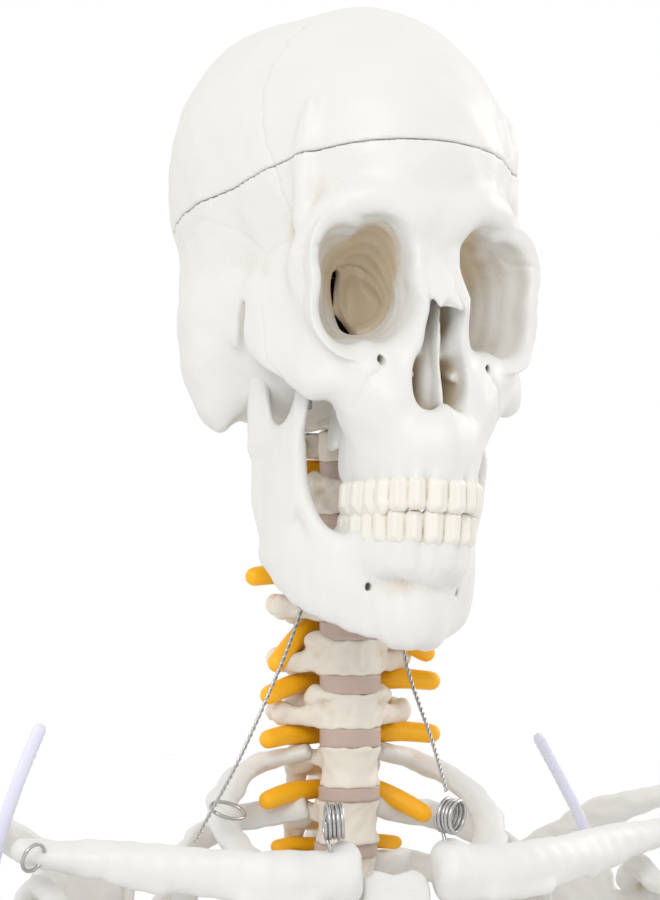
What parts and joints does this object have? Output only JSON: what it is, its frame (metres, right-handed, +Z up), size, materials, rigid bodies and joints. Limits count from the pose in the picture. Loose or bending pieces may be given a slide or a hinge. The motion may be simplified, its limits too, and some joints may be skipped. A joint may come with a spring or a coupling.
{
  "type": "human skeleton model",
  "caption": "Half-size jointed plastic teaching skeleton with spinal nerves, lift-off skull cap and sprung jaw, on a pelvic rod stand.",
  "frame": {"origin": "centre of the base plate's outline, at the floor under the rubber feet", "axes": "+Z up along the spine; the skeleton faces -Y; its own left side is at +X"},
  "size_m": [0.24, 0.2, 0.851],
  "materials": {
    "board": "satin white moulded board",
    "feet_rubber": "matt black rubber",
    "steel": "plain steel wire and pins",
    "chrome": "bright tube",
    "bone": "ivory-white moulded plastic, faint sheen",
    "disc": "soft translucent mauve-grey plastic",
    "cartilage": "flexible ivory plastic",
    "nerve": "orange-yellow flexible plastic",
    "strap": "white plastic strip"
  },
  "bodies": {
    "trunk_on_stand": {"base_plate": "board", "base_feet": "feet_rubber", "rod_socket": "chrome", "stand_rod": "chrome", "pelvic_bracket": "steel", "bracket_bolts": "steel", "sacrum": "bone", "lumbar_vertebrae": "bone", "thoracic_vertebrae": "bone", "cervical_vertebrae": "bone", "axis_vertebra": "bone", "neck_bolt": "steel", "intervertebral_discs": "disc", "spinal_cord": "nerve", "nerve_roots_neck": "nerve", "nerve_roots_trunk": "nerve", "sternum": "bone", "costal_cartilages": "cartilage", "ribs_right": "bone", "ribs_left": "bone", "clavicle_right": "bone", "clavicle_left": "bone", "scapula_right": "bone", "scapula_left": "bone", "collar_springs": "steel", "suspension_wires": "steel", "shoulder_straps": "strap", "hip_bone_right": "bone", "hip_bone_left": "bone", "pubic_symphysis": "cartilage"},
    "atlas": {"atlas_vertebra": "bone"},
    "head": {"skull_base": "bone", "jaw_springs": "steel"},
    "calvaria": {"skull_cap": "bone"},
    "jaw": {"mandible": "bone"},
    "shoulder_link_right": {"shoulder_eye_right": "steel"},
    "upper_arm_right": {"humerus_right": "bone", "elbow_pin_right": "steel"},
    "forearm_right": {"ulna_right": "bone", "radius_right": "bone"},
    "hand_right": {"hand_right": "bone"},
    "hip_link_right": {"hip_link_right": "steel"},
    "thigh_right": {"femur_right": "bone", "patella_right": "bone", "knee_pin_right": "steel"},
    "shank_right": {"lower_leg_right": "bone"},
    "foot_right": {"foot_right": "bone"},
    "shoulder_link_left": {"shoulder_eye_left": "steel"},
    "upper_arm_left": {"humerus_left": "bone", "elbow_pin_left": "steel"},
    "forearm_left": {"ulna_left": "bone", "radius_left": "bone"},
    "hand_left": {"hand_left": "bone"},
    "hip_link_left": {"hip_link_left": "steel"},
    "thigh_left": {"femur_left": "bone", "patella_left": "bone", "knee_pin_left": "steel"},
    "shank_left": {"lower_leg_left": "bone"},
    "foot_left": {"foot_left": "bone"}
  },
  "joints": [
    {"name": "head_turn", "type": "hinge", "parent": "trunk_on_stand", "child": "atlas", "pos_m": [0, 0.022, 0.775], "axis": [0, 0, 1], "range_deg": [-30, 12]},
    {"name": "head_nod", "type": "hinge", "parent": "atlas", "child": "head", "pos_m": [-0.00126, 0.02414, 0.7783], "axis": [0.9901, 0.1216, -0.0698], "range_deg": [-8, 5]},
    {"name": "calvaria_lift", "type": "slide", "parent": "head", "child": "calvaria", "axis": [0.033, 0.2818, 0.9589], "range_m": [0, 0.06]},
    {"name": "jaw_hinge", "type": "hinge", "parent": "head", "child": "jaw", "pos_m": [0.00045, 0.01425, 0.7854], "axis": [0.9901, 0.1216, -0.0698], "range_deg": [0, 15], "stiffness_Nm_per_rad": 0.05, "springref_deg": -8.59},
    {"name": "shoulder_swing_right", "type": "hinge", "parent": "trunk_on_stand", "child": "shoulder_link_right", "pos_m": [-0.074, 0.019, 0.686], "axis": [-1, 0, 0], "range_deg": [-40, 80]},
    {"name": "arm_raise_right", "type": "hinge", "parent": "shoulder_link_right", "child": "upper_arm_right", "pos_m": [-0.074, 0.019, 0.686], "axis": [0, 1, 0], "range_deg": [0, 75]},
    {"name": "elbow_right", "type": "hinge", "parent": "upper_arm_right", "child": "forearm_right", "pos_m": [-0.081, 0.019, 0.547], "axis": [-1, 0, 0], "range_deg": [0, 110]},
    {"name": "wrist_right", "type": "hinge", "parent": "forearm_right", "child": "hand_right", "pos_m": [-0.089, 0.018, 0.436], "axis": [-1, 0, 0], "range_deg": [-40, 50]},
    {"name": "hip_flex_right", "type": "hinge", "parent": "trunk_on_stand", "child": "hip_link_right", "pos_m": [-0.038, 0, 0.467], "axis": [-1, 0, 0], "range_deg": [-10, 75]},
    {"name": "hip_spread_right", "type": "hinge", "parent": "hip_link_right", "child": "thigh_right", "pos_m": [-0.038, 0, 0.467], "axis": [0, 1, 0], "range_deg": [-2, 8]},
    {"name": "knee_right", "type": "hinge", "parent": "thigh_right", "child": "shank_right", "pos_m": [-0.034, 0, 0.272], "axis": [1, 0, 0], "range_deg": [0, 95]},
    {"name": "ankle_right", "type": "hinge", "parent": "shank_right", "child": "foot_right", "pos_m": [-0.033, 0, 0.094], "axis": [1, 0, 0], "range_deg": [-10, 12]},
    {"name": "shoulder_swing_left", "type": "hinge", "parent": "trunk_on_stand", "child": "shoulder_link_left", "pos_m": [0.074, 0.019, 0.686], "axis": [-1, 0, 0], "range_deg": [-40, 80]},
    {"name": "arm_raise_left", "type": "hinge", "parent": "shoulder_link_left", "child": "upper_arm_left", "pos_m": [0.074, 0.019, 0.686], "axis": [0, -1, 0], "range_deg": [0, 75]},
    {"name": "elbow_left", "type": "hinge", "parent": "upper_arm_left", "child": "forearm_left", "pos_m": [0.081, 0.019, 0.547], "axis": [-1, 0, 0], "range_deg": [0, 110]},
    {"name": "wrist_left", "type": "hinge", "parent": "forearm_left", "child": "hand_left", "pos_m": [0.089, 0.018, 0.436], "axis": [-1, 0, 0], "range_deg": [-40, 50]},
    {"name": "hip_flex_left", "type": "hinge", "parent": "trunk_on_stand", "child": "hip_link_left", "pos_m": [0.038, 0, 0.467], "axis": [-1, 0, 0], "range_deg": [-10, 75]},
    {"name": "hip_spread_left", "type": "hinge", "parent": "hip_link_left", "child": "thigh_left", "pos_m": [0.038, 0, 0.467], "axis": [0, -1, 0], "range_deg": [-2, 8]},
    {"name": "knee_left", "type": "hinge", "parent": "thigh_left", "child": "shank_left", "pos_m": [0.034, 0, 0.272], "axis": [1, 0, 0], "range_deg": [0, 95]},
    {"name": "ankle_left", "type": "hinge", "parent": "shank_left", "child": "foot_left", "pos_m": [0.033, 0, 0.094], "axis": [1, 0, 0], "range_deg": [-10, 12]}
  ]
}
